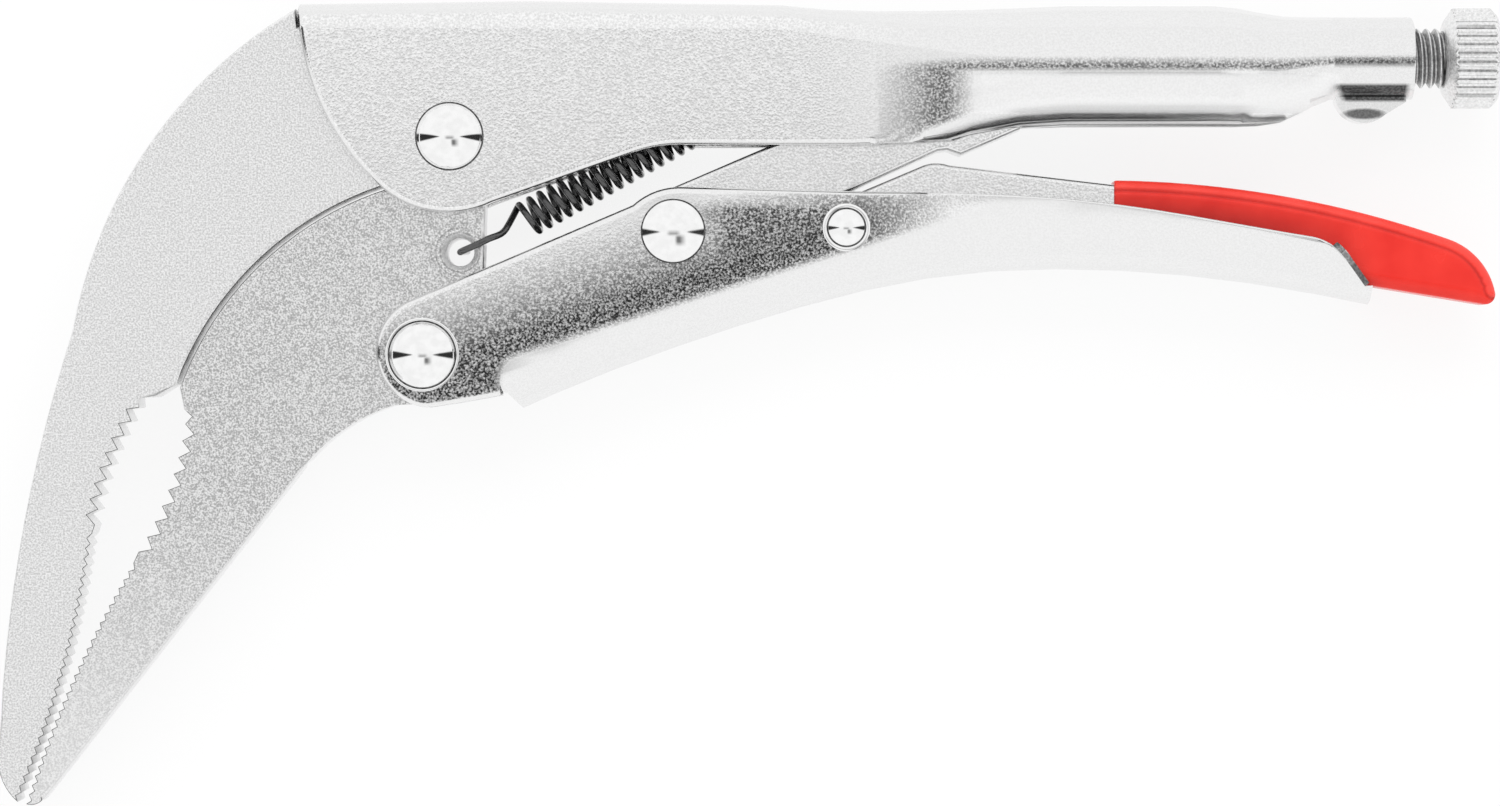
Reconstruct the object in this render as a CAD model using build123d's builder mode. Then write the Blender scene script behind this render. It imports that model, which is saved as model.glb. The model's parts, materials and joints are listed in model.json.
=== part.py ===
# Locking pliers with long curved jaws, lying on their side.
# Millimetres. +X runs from the jaws to the adjusting screw, +Y from the lower handle
# to the upper one, +Z up out of the surface that the pliers lie on.
# The origin is on that surface, under the middle of the whole tool.
import os
from math import cos, pi, radians, sin, sqrt

from build123d import *

# Plate, sheet and clearances
JAW_T = 7.0                 # movable jaw plate
SHEET_T = 2.0               # handle sheet
SIDE_CLEAR = 0.15           # play on each side of a plate that turns between two walls
PIN_CLEAR = 0.05            # radial play of a plate on its rivet
SEAT_CLEAR = 0.02           # radial room of a fixed rivet in its wall
BEND_FLATS = 3              # flats that make up a bend of a handle
REAR_W = 16.0               # width of both handles where the hand closes round them

# Pivots, seen from the side
MAIN_X, MAIN_Y = -39.9, 35.4          # movable jaw on the upper handle
HANDLE_X, HANDLE_Y = -43.5, 6.4       # lower handle on the movable jaw
TOGGLE_X, TOGGLE_Y = -10.2, 22.8      # toggle link on the lower handle
RELEASE_X, RELEASE_Y = 12.8, 23.3     # release lever on the lower handle
LINK_LENGTH = 53.3                    # toggle pivot to the middle of the link's round end
LINK_ANGLE = 25.3                     # slope of the link in the locked position
SPRING_X, SPRING_Y = -38.6, 20.1      # spring hole in the movable jaw
ANCHOR_X, ANCHOR_Y = 3.2, 43.2        # spring hole in the anchor tab
SCREW_Y = 46.1                        # axis of the adjusting screw

# Rivets
SHANK_R = 3.0
MAIN_HEAD_R = 4.45
TOGGLE_HEAD_R = 4.18
TOGGLE_HEAD_H = 1.5
SMALL_SHANK_R = 1.6
SMALL_HEAD_R = 2.48
SMALL_HEAD_H = 1.2
RIM_H = 0.3                 # straight edge under a rivet's dome
COLLAR_W = 0.35             # low ring round a rivet head
COLLAR_H = 0.25

# Jaws
JAW_GAP = 0.55              # gap along the parting curve of the closed jaws
HUB_R = 9.0                 # round end of the movable jaw inside the upper handle
HUB_CLEAR = 0.4
EYE_R = 6.5                 # movable jaw round the lower handle's rivet
SPRING_HOLE_R = 1.87
SPRING_SINK = 0.6           # countersink of the spring hole
COARSE_TEETH = 8
COARSE_DEPTH = 1.35
FINE_TEETH = 27
FINE_DEPTH = 0.55

# Upper handle
BEND_R = 3.0                # outer bend of the channel
CHANNEL_END_X = 4.0         # flat walls up to here
WAIST_DEPTH = 0.75          # dip of the back ahead of the grip
GRIP_START_X = 42.0
GRIP_END_X = 62.0
GRIP_LOW_Y = 36.4
GRIP_TOP_Y = 53.05
GRIP_CORNER = 7.0
TUBE_R = 5.5                # threaded tail
TUBE_START_X = 77.6
TUBE_END_X = 88.5
NECK_STEP = 0.7             # squareness of the neck where the tail starts
LIP_T = 3.4                 # pinched seam under the tail
SLOT_START_X = 13.0         # slot for the link under the grip
SLOT_END_X = 76.0
TAB_T = 2.0                 # spring anchor tab
TAB_R = 2.0
TAB_HOLE_R = 1.0

# Lower handle
EAR_END_X = -30.3           # the fold starts here
SWELL_START_X = 17.0        # flat walls up to here
SWELL_L = 26.0
EAR_SWEEP = 12.0            # the walls start to turn in this far above the bottom, in front
TAIL_SWEEP = 10.0           # and at the tail
HOLLOW_BEND_R = 5.5         # largest bend of the trough's inside, to the outer face
TROUGH_FLATS = 5
TROUGH_FLAT = 0.2           # half of the narrowest flat along the trough's bottom
OPEN_Y = 44.0               # above the trough's open side

# Toggle link and release lever
LINK_T = 1.5                # sheet of the link and the lever
LINK_EYE_R = 5.5
LINK_END_R = 3.5
LEVER_EYE_R = 3.7
LEVER_W = 6.0
GRIP_T = 0.6                # plastic dip on the lever's tail
GRIP_X = 48.5
GRIP_ROUND = 0.9

# Adjusting screw and knob
SCREW_R = 4.0
SCREW_POINT_R = 2.6
THREAD_CLEAR = 0.1
LINK_GAP = 1.0              # between the screw's point and the link's end
SPIGOT_R = 2.5
SPIGOT_L = 3.5
KNOB_X = 92.6
KNOB_L = 7.2
KNOB_R = 6.7
KNOB_NECK_L = 1.4
KNOB_NECK_R = 4.8
KNOB_ROUND = 0.9
KNOB_RIDGES = 33
RIDGE_DEPTH = 0.45

# Return spring
WIRE_R = 0.5
COIL_R = 2.0                # to the middle of the wire
COIL_PITCH = 1.55
WIRE_SIDES = 3
COIL_TURNS = 17
COIL_START = 9.4            # first turn, from the jaw's spring hole

# Worked out from the sizes above
MID_Z = REAR_W / 2
CHANNEL_W = JAW_T + 2 * SIDE_CLEAR
FRONT_W = CHANNEL_W + 2 * SHEET_T
HEAD_H = (REAR_W - FRONT_W) / 2
SIDE = Plane.XY.offset(MID_Z)
UNDER = Plane.XY.offset(-MID_Z)
SLOPE = Vector(cos(radians(LINK_ANGLE)), sin(radians(LINK_ANGLE)))
LINK_END = Vector(TOGGLE_X, TOGGLE_Y) + SLOPE * LINK_LENGTH

os.makedirs("parts", exist_ok=True)


def save(part, name):
    part.label = name
    export_step(part, f"parts/{name}.step")


def toothed(edge, count, depth):
    """Points of a row of teeth: tips on an edge, roots at a depth to its right."""
    points = []
    for i in range(2 * count + 1):
        place = edge @ (i / (2 * count))
        way = edge % (i / (2 * count))
        cut = depth if i % 2 else 0.0
        points.append((place.X + way.Y * cut, place.Y - way.X * cut))
    return points


def ease(start, end, share):
    """A size on its way from start to end, level at both."""
    return start + (end - start) * share * share * (3 - 2 * share)


def trough(stations, wall, flats):
    """A bar lofted through sections along X with oval bends, drawn in by a wall."""
    with BuildPart() as bar:
        for x, low, high, width, corner, sweep in stations:
            tall = (high - low) / 2 - sweep + wall
            wide = width / 2 - corner
            bends = [(1, 1, 0), (-1, 1, 90), (-1, -1, 180), (1, -1, 270)]
            turns = [i * 90 / flats for i in range(flats + 1)]
            with BuildSketch(Plane.YZ.offset(x)):
                with BuildLine():
                    Polyline(
                        [
                            (
                                (low + high) / 2 + up * tall + (sweep - wall) * cos(radians(start + turn)),
                                MID_Z + out * wide + (corner - wall) * sin(radians(start + turn)),
                            )
                            for up, out, start in bends
                            for turn in turns
                        ],
                        close=True,
                    )
                make_face()
        loft(ruled=True)
    return bar.part


# Parting curve of the jaws
PARTING = ThreePointArc((-49.0, 28.6), (-66.4, 17.7), (-76.1, 2.4))
PARTING_R = PARTING.radius
PARTING_X = PARTING.arc_center.X
PARTING_Y = PARTING.arc_center.Y

# Fixed jaw: its tongue is held between the walls of the upper handle
with BuildPart() as fixed_jaw:
    with BuildSketch(SIDE):
        with BuildLine():
            back = ThreePointArc((-60.5, 52.5), (-77.6, 37.7), (-90.2, 9.7))
            flank = ThreePointArc(back @ 1, (-96.4, -14.3), (-100.0, -46.4))
            tip = ThreePointArc(flank @ 1, (-99.4, -50.6), (-97.5, -53.1))
            coarse = ThreePointArc((-81.3, -0.6), (-84.8, -7.9), (-87.2, -16.2), mode=Mode.PRIVATE)
            fine = ThreePointArc((-87.6, -17.4), (-90.9, -34.3), tip @ 1, mode=Mode.PRIVATE)
            fine_row = Polyline(toothed(fine, FINE_TEETH, FINE_DEPTH))
            coarse_row = Polyline(toothed(coarse, COARSE_TEETH, COARSE_DEPTH))
            Line(coarse_row @ 1, fine_row @ 0)
            Polyline(
                coarse_row @ 0,
                (-81.4, 0.7),
                (-79.2, 0.8),
                (-76.4, 2.5),
                (PARTING_X, PARTING_Y),
                (MAIN_X, MAIN_Y),
                (-22.0, 41.5),
                (-22.0, 50.0),
                (-60.3, 50.0),
                back @ 0,
            )
        make_face()
        with Locations((MAIN_X, MAIN_Y)):
            Circle(HUB_R + HUB_CLEAR, mode=Mode.SUBTRACT)
        with Locations((PARTING_X, PARTING_Y)):
            Circle(PARTING_R + JAW_GAP / 2, mode=Mode.SUBTRACT)
    extrude(amount=CHANNEL_W / 2, both=True)
save(fixed_jaw.part, "fixed_jaw")

# Movable jaw: turns on the main rivet and carries the lower handle and the spring
with BuildPart() as movable_jaw:
    with BuildSketch(SIDE):
        with BuildLine():
            mating = CenterArc((PARTING_X, PARTING_Y), PARTING_R - JAW_GAP / 2, 104, 56)
            coarse = ThreePointArc((-75.2, -2.8), (-77.2, -10.8), (-81.4, -19.8), mode=Mode.PRIVATE)
            fine = ThreePointArc((-82.1, -21.3), (-88.9, -33.9), (-96.4, -53.4), mode=Mode.PRIVATE)
            coarse_row = Polyline(toothed(coarse, COARSE_TEETH, -COARSE_DEPTH))
            fine_row = Polyline(toothed(fine, FINE_TEETH, -FINE_DEPTH))
            Line(coarse_row @ 1, fine_row @ 0)
            Polyline(mating @ 1, (-75.4, -0.8), (-74.3, -1.8), coarse_row @ 0)
            nose = ThreePointArc(fine_row @ 1, (-95.4, -53.5), (-94.1, -52.7))
            belly = Line(nose @ 1, (-59.6, -8.7))
            bend = TangentArc(belly @ 1, (-47.4, -0.3), tangent=belly % 1)
            Line(bend @ 1, (HANDLE_X, HANDLE_Y - EYE_R))
            eye = CenterArc((HANDLE_X, HANDLE_Y), EYE_R, 270, 90)
            Polyline(eye @ 1, (-35.5, 17.0), (-35.2, 28.6), mating @ 0)
        make_face()
        with Locations((MAIN_X, MAIN_Y)):
            Circle(HUB_R)
    extrude(amount=JAW_T / 2, both=True)
    with Locations((MAIN_X, MAIN_Y, MID_Z + JAW_T / 2), (HANDLE_X, HANDLE_Y, MID_Z + JAW_T / 2)):
        Hole(SHANK_R + PIN_CLEAR)
    with Locations((SPRING_X, SPRING_Y, MID_Z + JAW_T / 2)):
        CounterSinkHole(SPRING_HOLE_R, SPRING_HOLE_R + SPRING_SINK)
save(movable_jaw.part, "movable_jaw")

# Upper handle: a channel that swells into an oval grip and closes to a threaded tail.
# Each station is x, lower edge, top, width, and the bend's reach across and up.
UPPER = [(-62.0, 18.0, 53.15, FRONT_W, BEND_R, BEND_R), (-29.0, 21.0, 53.6, FRONT_W, BEND_R, BEND_R)]
for i in range(7):
    share = i / 6
    bend = ease(BEND_R, GRIP_CORNER, share)
    UPPER.append((
        CHANNEL_END_X + (GRIP_START_X - CHANNEL_END_X) * share,
        GRIP_LOW_Y - 12.4 * (1 - share) ** 2,
        GRIP_TOP_Y - WAIST_DEPTH * sin(pi * share**0.7),
        ease(FRONT_W, REAR_W, share),
        bend,
        bend,
    ))
for i in range(6):
    share = i / 5
    bend = ease(GRIP_CORNER, TUBE_R - NECK_STEP, share)
    UPPER.append((
        GRIP_END_X + (TUBE_START_X - GRIP_END_X) * share,
        GRIP_LOW_Y + (SCREW_Y - TUBE_R - GRIP_LOW_Y) * share**4,
        ease(GRIP_TOP_Y, SCREW_Y + TUBE_R, min(1.0, 1.45 * share)),
        ease(REAR_W, 2 * TUBE_R, share),
        bend,
        bend,
    ))
UPPER_HOLLOW = [(x, low + SHEET_T, top - SHEET_T, w, r, s) for x, low, top, w, r, s in UPPER]
upper_shell = trough(UPPER, 0.0, BEND_FLATS)
upper_hollow = trough(UPPER_HOLLOW, SHEET_T, BEND_FLATS)

with BuildPart() as upper_handle:
    add(upper_shell)
    with BuildSketch(UNDER):
        with BuildLine():
            front = ThreePointArc((-60.1, 53.0), (-56.1, 37.7), (-48.7, 28.4))
            bow = ThreePointArc(front @ 1, (-41.6, 25.4), (-34.2, 26.7))
            climb = Line(bow @ 1, (-15.4, 33.3))
            level = TangentArc(climb @ 1, (-9.4, 34.35), tangent=climb % 1)
            Polyline(
                level @ 1,
                (13.4, 34.3),
                (30.2, 35.0),
                (30.2, 10.0),
                (TUBE_END_X, 10.0),
                (TUBE_END_X, 60.0),
                (-60.1, 60.0),
                front @ 0,
            )
        make_face()
    extrude(amount=2 * REAR_W, mode=Mode.INTERSECT)
    with BuildSketch(Plane.YZ.offset(TUBE_START_X)):
        with Locations((SCREW_Y, MID_Z)):
            Circle(TUBE_R)
    extrude(amount=TUBE_END_X - TUBE_START_X)
    add(upper_hollow, mode=Mode.SUBTRACT)
    with BuildSketch(SIDE):
        with BuildLine():
            seam = ThreePointArc((78.2, 40.4), (80.8, 37.6), (84.8, 38.5))
            Polyline(seam @ 1, (87.6, 40.2), (87.6, SCREW_Y), (78.2, SCREW_Y), seam @ 0)
        make_face()
    extrude(amount=LIP_T / 2, both=True)
    with BuildSketch(SIDE):
        with Locations((SLOT_START_X, SCREW_Y)):
            Rectangle(SLOT_END_X - SLOT_START_X, 32.0, align=(Align.MIN, Align.MAX))
    extrude(amount=CHANNEL_W / 2, both=True, mode=Mode.SUBTRACT)
    with BuildSketch(Plane.YZ.offset(GRIP_END_X)):
        with Locations((SCREW_Y, MID_Z)):
            Circle(SCREW_R + THREAD_CLEAR)
    extrude(amount=TUBE_END_X - GRIP_END_X, mode=Mode.SUBTRACT)
    with Locations((MAIN_X, MAIN_Y, REAR_W)):
        Hole(SHANK_R + SEAT_CLEAR)
    with BuildSketch(SIDE):
        with BuildLine():
            tab = CenterArc((ANCHOR_X, ANCHOR_Y), TAB_R, 180, 180)
            Polyline(tab @ 1, (ANCHOR_X + TAB_R, 52.0), (ANCHOR_X - TAB_R, 52.0), tab @ 0)
        make_face()
        with Locations((ANCHOR_X, ANCHOR_Y)):
            Circle(TAB_HOLE_R, mode=Mode.SUBTRACT)
    extrude(amount=TAB_T / 2, both=True)
save(upper_handle.part, "upper_handle")

# Lower handle: two ears round the movable jaw, then a trough that widens to the tail.
# Each station is x, bottom, open top, width, and the bend's reach across and up.
LOWER_BACK = Spline((-34.0, -2.3), (EAR_END_X, -0.6), (1.3, 11.2), (25.7, 16.95), (43.0, 17.9), (84.0, 12.9))
LOWER = []
for i in range(15):
    place = LOWER_BACK @ (i / 14)
    share = min(1.0, max(0.0, (place.X - SWELL_START_X) / SWELL_L))
    width = ease(FRONT_W, REAR_W, share)
    turn_in = ease(EAR_SWEEP, TAIL_SWEEP, share)
    LOWER.append((place.X, place.Y, OPEN_Y, width, width / 2 - TROUGH_FLAT, turn_in))
LOWER_HOLLOW = [
    (x, low + SHEET_T, top + SHEET_T, w, min(r, HOLLOW_BEND_R), min(r, HOLLOW_BEND_R))
    for x, low, top, w, r, s in LOWER
]
lower_shell = trough(LOWER, 0.0, TROUGH_FLATS)
lower_hollow = trough(LOWER_HOLLOW, SHEET_T, BEND_FLATS)

with BuildPart() as lower_handle:
    add(lower_shell)
    with BuildSketch(UNDER):
        with BuildLine():
            rim = Line((-44.9, 13.8), (-15.6, 26.3))
            shoulder = ThreePointArc(rim @ 1, (-12.7, 28.1), (-8.6, 28.7))
            waist = Line(shoulder @ 1, (13.4, 28.15))
            edge = Spline(waist @ 1, (33.4, 27.6), (48.5, 26.3), (74.3, 22.05), tangents=(waist % 1, (1, -0.16)))
            scoop = ThreePointArc(edge @ 1, (77.4, 20.7), (79.3, 18.5))
            Polyline(scoop @ 1, (81.7, 15.5), (82.7, 15.6), (82.2, -10.0), (EAR_END_X, -10.0), (EAR_END_X, -0.6))
            Polyline((EAR_END_X, -0.6), (-33.0, 1.7), (-33.4, 3.0), rim @ 0)
        make_face()
    extrude(amount=2 * REAR_W, mode=Mode.INTERSECT)
    with BuildSketch(SIDE):
        with BuildLine():
            crown = ThreePointArc(
                rim @ 0,
                (HANDLE_X - 6.2, HANDLE_Y + 0.8),
                (HANDLE_X + 0.5, HANDLE_Y - 7.0),
            )
            heel = ThreePointArc(crown @ 1, (-38.4, 0.1), (-33.2, 1.05))
            merge = ThreePointArc(heel @ 1, (-32.3, 6.5), (-28.5, 11.2))
            Polyline(merge @ 1, (-20.0, 15.0), rim @ 0.8, rim @ 0)
        make_face()
    extrude(amount=FRONT_W / 2, both=True)
    add(lower_hollow, mode=Mode.SUBTRACT)
    with BuildSketch(SIDE):
        with Locations((EAR_END_X - 20.0, HANDLE_Y)):
            Rectangle(40.0, 40.0)
    extrude(amount=CHANNEL_W / 2, both=True, mode=Mode.SUBTRACT)
    with Locations((HANDLE_X, HANDLE_Y, REAR_W), (TOGGLE_X, TOGGLE_Y, REAR_W)):
        Hole(SHANK_R + SEAT_CLEAR)
    with Locations((RELEASE_X, RELEASE_Y, REAR_W)):
        Hole(SMALL_SHANK_R + SEAT_CLEAR)
save(lower_handle.part, "lower_handle")


def link_point(length, off):
    """A point of the toggle link: along its centre line from the pivot, and off to the left."""
    return (TOGGLE_X + SLOPE.X * length - SLOPE.Y * off, TOGGLE_Y + SLOPE.Y * length + SLOPE.X * off)


# Toggle link: a folded channel, open on top, with a solid round end for the screw
with BuildPart() as toggle_link:
    with BuildSketch(SIDE):
        with BuildLine():
            eye = ThreePointArc(link_point(0, LINK_EYE_R), link_point(-LINK_EYE_R, 0), link_point(2.4, -4.95))
            Polyline(
                eye @ 1,
                link_point(36.4, -5.3),
                link_point(37.6, -5.7),
                link_point(39.0, -7.1),
                link_point(47.6, -7.4),
                link_point(50.0, -6.0),
                link_point(LINK_LENGTH + LINK_END_R * 0.8, -LINK_END_R * 0.6),
            )
            ThreePointArc(
                link_point(LINK_LENGTH + LINK_END_R * 0.8, -LINK_END_R * 0.6),
                link_point(LINK_LENGTH + LINK_END_R, 0),
                link_point(LINK_LENGTH, LINK_END_R),
            )
            Line(link_point(LINK_LENGTH, LINK_END_R), eye @ 0)
        make_face()
    extrude(amount=JAW_T / 2, both=True)
    with BuildSketch(SIDE):
        with BuildLine():
            Polyline(
                link_point(-9.0, -4.95 + LINK_T),
                link_point(36.4, -5.3 + LINK_T),
                link_point(39.0, -7.1 + LINK_T),
                link_point(46.0, -7.4 + LINK_T),
                link_point(46.0, 9.0),
                link_point(-9.0, 9.0),
                close=True,
            )
        make_face()
    extrude(amount=JAW_T / 2 - LINK_T, both=True, mode=Mode.SUBTRACT)
    with Locations((TOGGLE_X, TOGGLE_Y, REAR_W)):
        Hole(SHANK_R + PIN_CLEAR)
save(toggle_link.part, "toggle_link")

def beside(edge, share, off):
    """A point beside an edge, off to its left."""
    place = edge @ share
    way = edge % share
    return (place.X - way.Y * off, place.Y + way.X * off)


# Release lever: a folded channel, open underneath, with a plastic dip on its tail
with BuildSketch(SIDE) as lever_side:
    with BuildLine():
        eye = CenterArc((RELEASE_X, RELEASE_Y), LEVER_EYE_R, 111.3, 160)
        ramp = Line(eye @ 0, (22.7, 31.5))
        nose = ThreePointArc(ramp @ 1, (24.2, 31.95), (26.5, 31.7))
        neck = Line(nose @ 1, (GRIP_X, 29.1))
        top = ThreePointArc(neck @ 1, (68.1, 27.5), (93.0, 21.3))
        tip = TangentArc(top @ 1, (98.8, 14.6), tangent=top % 1)
        cap = TangentArc(tip @ 1, (97.96, 13.74), tangent=tip % 1)
        belly = TangentArc(cap @ 1, (GRIP_X, 21.35), tangent=cap % 1)
        Polyline(belly @ 1, (31.0, 21.2), eye @ 1)
    make_face()

with BuildSketch(SIDE) as grip_side:
    with BuildLine():
        over, outer, round_end, under = [
            ThreePointArc([beside(edge, share, GRIP_T) for share in (0, 0.5, 1)])
            for edge in (top, tip, cap, belly)
        ]
        Line(under @ 1, over @ 0)
    make_face()

with BuildPart() as lever_bar:
    add(lever_side.sketch)
    extrude(amount=LEVER_W / 2, both=True)

with BuildPart() as release_lever:
    add(lever_bar.part)
    with BuildSketch(SIDE):
        with Locations((0, -LINK_T)):
            add(lever_side.sketch)
    extrude(amount=LEVER_W / 2 - LINK_T, both=True, mode=Mode.SUBTRACT)
    with Locations((RELEASE_X, RELEASE_Y, REAR_W)):
        Hole(SMALL_SHANK_R + PIN_CLEAR)
save(release_lever.part, "release_lever")

with BuildPart() as lever_grip:
    add(grip_side.sketch)
    extrude(amount=LEVER_W / 2 + GRIP_T, both=True)
    rims = lever_grip.edges().group_by(Axis.Z)
    chamfer([edge for edge in rims[0] + rims[-1] if edge.center().X > GRIP_X + 1], GRIP_ROUND)
    add(lever_bar.part, mode=Mode.SUBTRACT)
save(lever_grip.part, "lever_grip")


def rivet(name, x, y, shank, head, height, collar):
    """A rivet through both walls of a handle, with a domed head and an optional collar outside."""
    with BuildPart() as piece:
        with BuildSketch(Plane((x, y, MID_Z), x_dir=(1, 0, 0), z_dir=(0, -1, 0))):
            with BuildLine():
                rim = FRONT_W / 2 + RIM_H
                crown = (0, FRONT_W / 2 + height)
                whole = ThreePointArc((-head, rim), crown, (head, rim), mode=Mode.PRIVATE)
                dome = [whole @ (0.5 + i / 4) for i in range(3)]
                Polyline(*dome, (head, FRONT_W / 2), (shank, FRONT_W / 2), (shank, 0), (0, 0), crown)
            make_face()
            if collar:
                with Locations(((shank + head + collar) / 2, FRONT_W / 2 + COLLAR_H / 2)):
                    Rectangle(head + collar - shank, COLLAR_H)
        revolve(axis=Axis((x, y, 0), (0, 0, 1)))
        mirror(about=SIDE)
    save(piece.part, name)


rivet("main_rivet", MAIN_X, MAIN_Y, SHANK_R, MAIN_HEAD_R, HEAD_H, 0.0)
rivet("handle_rivet", HANDLE_X, HANDLE_Y, SHANK_R, MAIN_HEAD_R, HEAD_H, COLLAR_W)
rivet("toggle_rivet", TOGGLE_X, TOGGLE_Y, SHANK_R, TOGGLE_HEAD_R, TOGGLE_HEAD_H, 0.0)
rivet("release_rivet", RELEASE_X, RELEASE_Y, SMALL_SHANK_R, SMALL_HEAD_R, SMALL_HEAD_H, 2 * COLLAR_W)

# Adjusting screw: threaded rod with a turned point, and a ridged knob on its spigot
POINT_X = LINK_END.X + LINK_END_R + LINK_GAP
with BuildPart() as adjusting_screw:
    with BuildSketch(Plane((0, SCREW_Y, MID_Z), x_dir=(1, 0, 0), z_dir=(0, 0, 1))):
        with BuildLine():
            Polyline(
                (POINT_X, 0),
                (POINT_X, SCREW_POINT_R),
                (POINT_X + SCREW_R - SCREW_POINT_R, SCREW_R),
                (KNOB_X, SCREW_R),
                (KNOB_X, SPIGOT_R),
                (KNOB_X + SPIGOT_L, SPIGOT_R),
                (KNOB_X + SPIGOT_L, 0),
                close=True,
            )
        make_face()
    revolve(axis=Axis((0, SCREW_Y, MID_Z), (1, 0, 0)))
save(adjusting_screw.part, "adjusting_screw")

with BuildPart() as screw_knob:
    with BuildSketch(Plane((0, SCREW_Y, MID_Z), x_dir=(1, 0, 0), z_dir=(0, 0, 1))):
        with BuildLine():
            Polyline(
                (KNOB_X + PIN_CLEAR, SPIGOT_R + PIN_CLEAR),
                (KNOB_X + PIN_CLEAR, KNOB_NECK_R),
                (KNOB_X + KNOB_NECK_L, KNOB_R),
                (KNOB_X + KNOB_L - KNOB_ROUND, KNOB_R),
                (KNOB_X + KNOB_L, KNOB_R - KNOB_ROUND),
                (KNOB_X + KNOB_L, 0),
                (KNOB_X + SPIGOT_L + PIN_CLEAR, 0),
                (KNOB_X + SPIGOT_L + PIN_CLEAR, SPIGOT_R + PIN_CLEAR),
                close=True,
            )
        make_face()
    revolve(axis=Axis((0, SCREW_Y, MID_Z), (1, 0, 0)))
    with BuildSketch(Plane((KNOB_X, SCREW_Y, MID_Z), x_dir=(0, 1, 0), z_dir=(1, 0, 0))):
        with PolarLocations(KNOB_R, KNOB_RIDGES):
            RegularPolygon(RIDGE_DEPTH, 4)
    extrude(amount=KNOB_L, mode=Mode.SUBTRACT)
save(screw_knob.part, "screw_knob")

# Return spring: one wire from the jaw's hole, round its turns, to the anchor tab
SPRING_LENGTH = sqrt((ANCHOR_X - SPRING_X) ** 2 + (ANCHOR_Y - SPRING_Y) ** 2)
COIL_AXIS = Vector((ANCHOR_X - SPRING_X) / SPRING_LENGTH, (ANCHOR_Y - SPRING_Y) / SPRING_LENGTH, 0)
COIL_SIDE = Vector(-COIL_AXIS.Y, COIL_AXIS.X, 0)
COIL_UP = Vector(0, 0, 1)
HOOK_DIP = (COIL_AXIS + COIL_SIDE * 0.6 - COIL_UP * 0.7).normalized()
JAW_HOLE = Vector(SPRING_X, SPRING_Y, MID_Z)
ANCHOR_HOLE = Vector(ANCHOR_X, ANCHOR_Y, MID_Z)


def coil_place(angle):
    """Place and direction of the wire at an angle round the coil."""
    climb = COIL_PITCH / (2 * pi)
    middle = JAW_HOLE + COIL_AXIS * (COIL_START + climb * angle)
    place = middle + COIL_SIDE * (COIL_R * cos(angle)) + COIL_UP * (COIL_R * sin(angle))
    way = COIL_AXIS * climb - COIL_SIDE * (COIL_R * sin(angle)) + COIL_UP * (COIL_R * cos(angle))
    return place, way.normalized()


def biarc(here, there):
    """Two arcs that leave one place and reach another in their given directions."""
    (p, s), (q, e) = here, there
    chord = q - p
    turn = 2 * (1 - s.dot(e))
    along = chord.dot(s + e)
    if turn < 1e-9:
        reach = chord.dot(chord) / (4 * chord.dot(e))
    else:
        reach = (sqrt(along * along + turn * chord.dot(chord)) - along) / turn
    joint = (p + s * reach + q - e * reach) * 0.5
    way = (q - e * reach - p - s * reach).normalized()
    TangentArc(p, joint, tangent=s)
    TangentArc(joint, q, tangent=way)


OVER_JAW = JAW_T / 2 + 1.5 * WIRE_R
stops = [(JAW_HOLE + COIL_AXIS * 0.6 - COIL_UP * OVER_JAW, COIL_UP)]
stops.append((JAW_HOLE + COIL_UP * (JAW_T / 2 - WIRE_R), COIL_UP))
stops.append((JAW_HOLE + COIL_AXIS * 3.6 - COIL_SIDE * 0.3 + COIL_UP * OVER_JAW, COIL_AXIS))
stops.append((JAW_HOLE + COIL_AXIS * 6.2 - COIL_SIDE * 0.2 + COIL_UP * COIL_R, HOOK_DIP))
stops += [coil_place(pi * i) for i in range(2 * COIL_TURNS - 1)]
stops.append(coil_place(pi * (2 * COIL_TURNS - 1.5)))
stops.append((ANCHOR_HOLE - COIL_AXIS * 1.6 + COIL_UP * (TAB_T / 2 + 2.4 * WIRE_R), COIL_AXIS))
stops.append((ANCHOR_HOLE + COIL_UP * TAB_T / 2, -COIL_UP))
stops.append((ANCHOR_HOLE - COIL_AXIS * 0.3 - COIL_UP * (TAB_T / 2 + WIRE_R), -COIL_UP))

with BuildPart() as return_spring:
    with BuildLine() as wire:
        for here, there in zip(stops[:-1], stops[1:]):
            biarc(here, there)
    with BuildSketch(Plane(stops[0][0], z_dir=stops[0][1])):
        RegularPolygon(WIRE_R, WIRE_SIDES)
    sweep(path=wire.line)
save(return_spring.part, "return_spring")

# Least distance between strands of the wire that are not next to each other
path = []
run = 0.0
for edge in wire.edges():
    for i in range(8):
        path.append((run + edge.length * i / 8, edge @ (i / 8)))
    run += edge.length
least = min(
    (path[i][1] - path[j][1]).length
    for i in range(len(path))
    for j in range(i)
    if abs(path[i][0] - path[j][0]) > 6 * WIRE_R
)
section = WIRE_SIDES / 2 * sin(2 * pi / WIRE_SIDES) * WIRE_R**2
print(f"spring: strand gap {least - 2 * WIRE_R:.2f} mm, wire {run:.1f} mm")
print(f"spring: volume {return_spring.part.volume:.1f}, section times length {section * run:.1f} mm3")
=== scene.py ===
import json
import math

import bmesh
import bpy
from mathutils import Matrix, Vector
from mathutils.kdtree import KDTree

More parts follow.
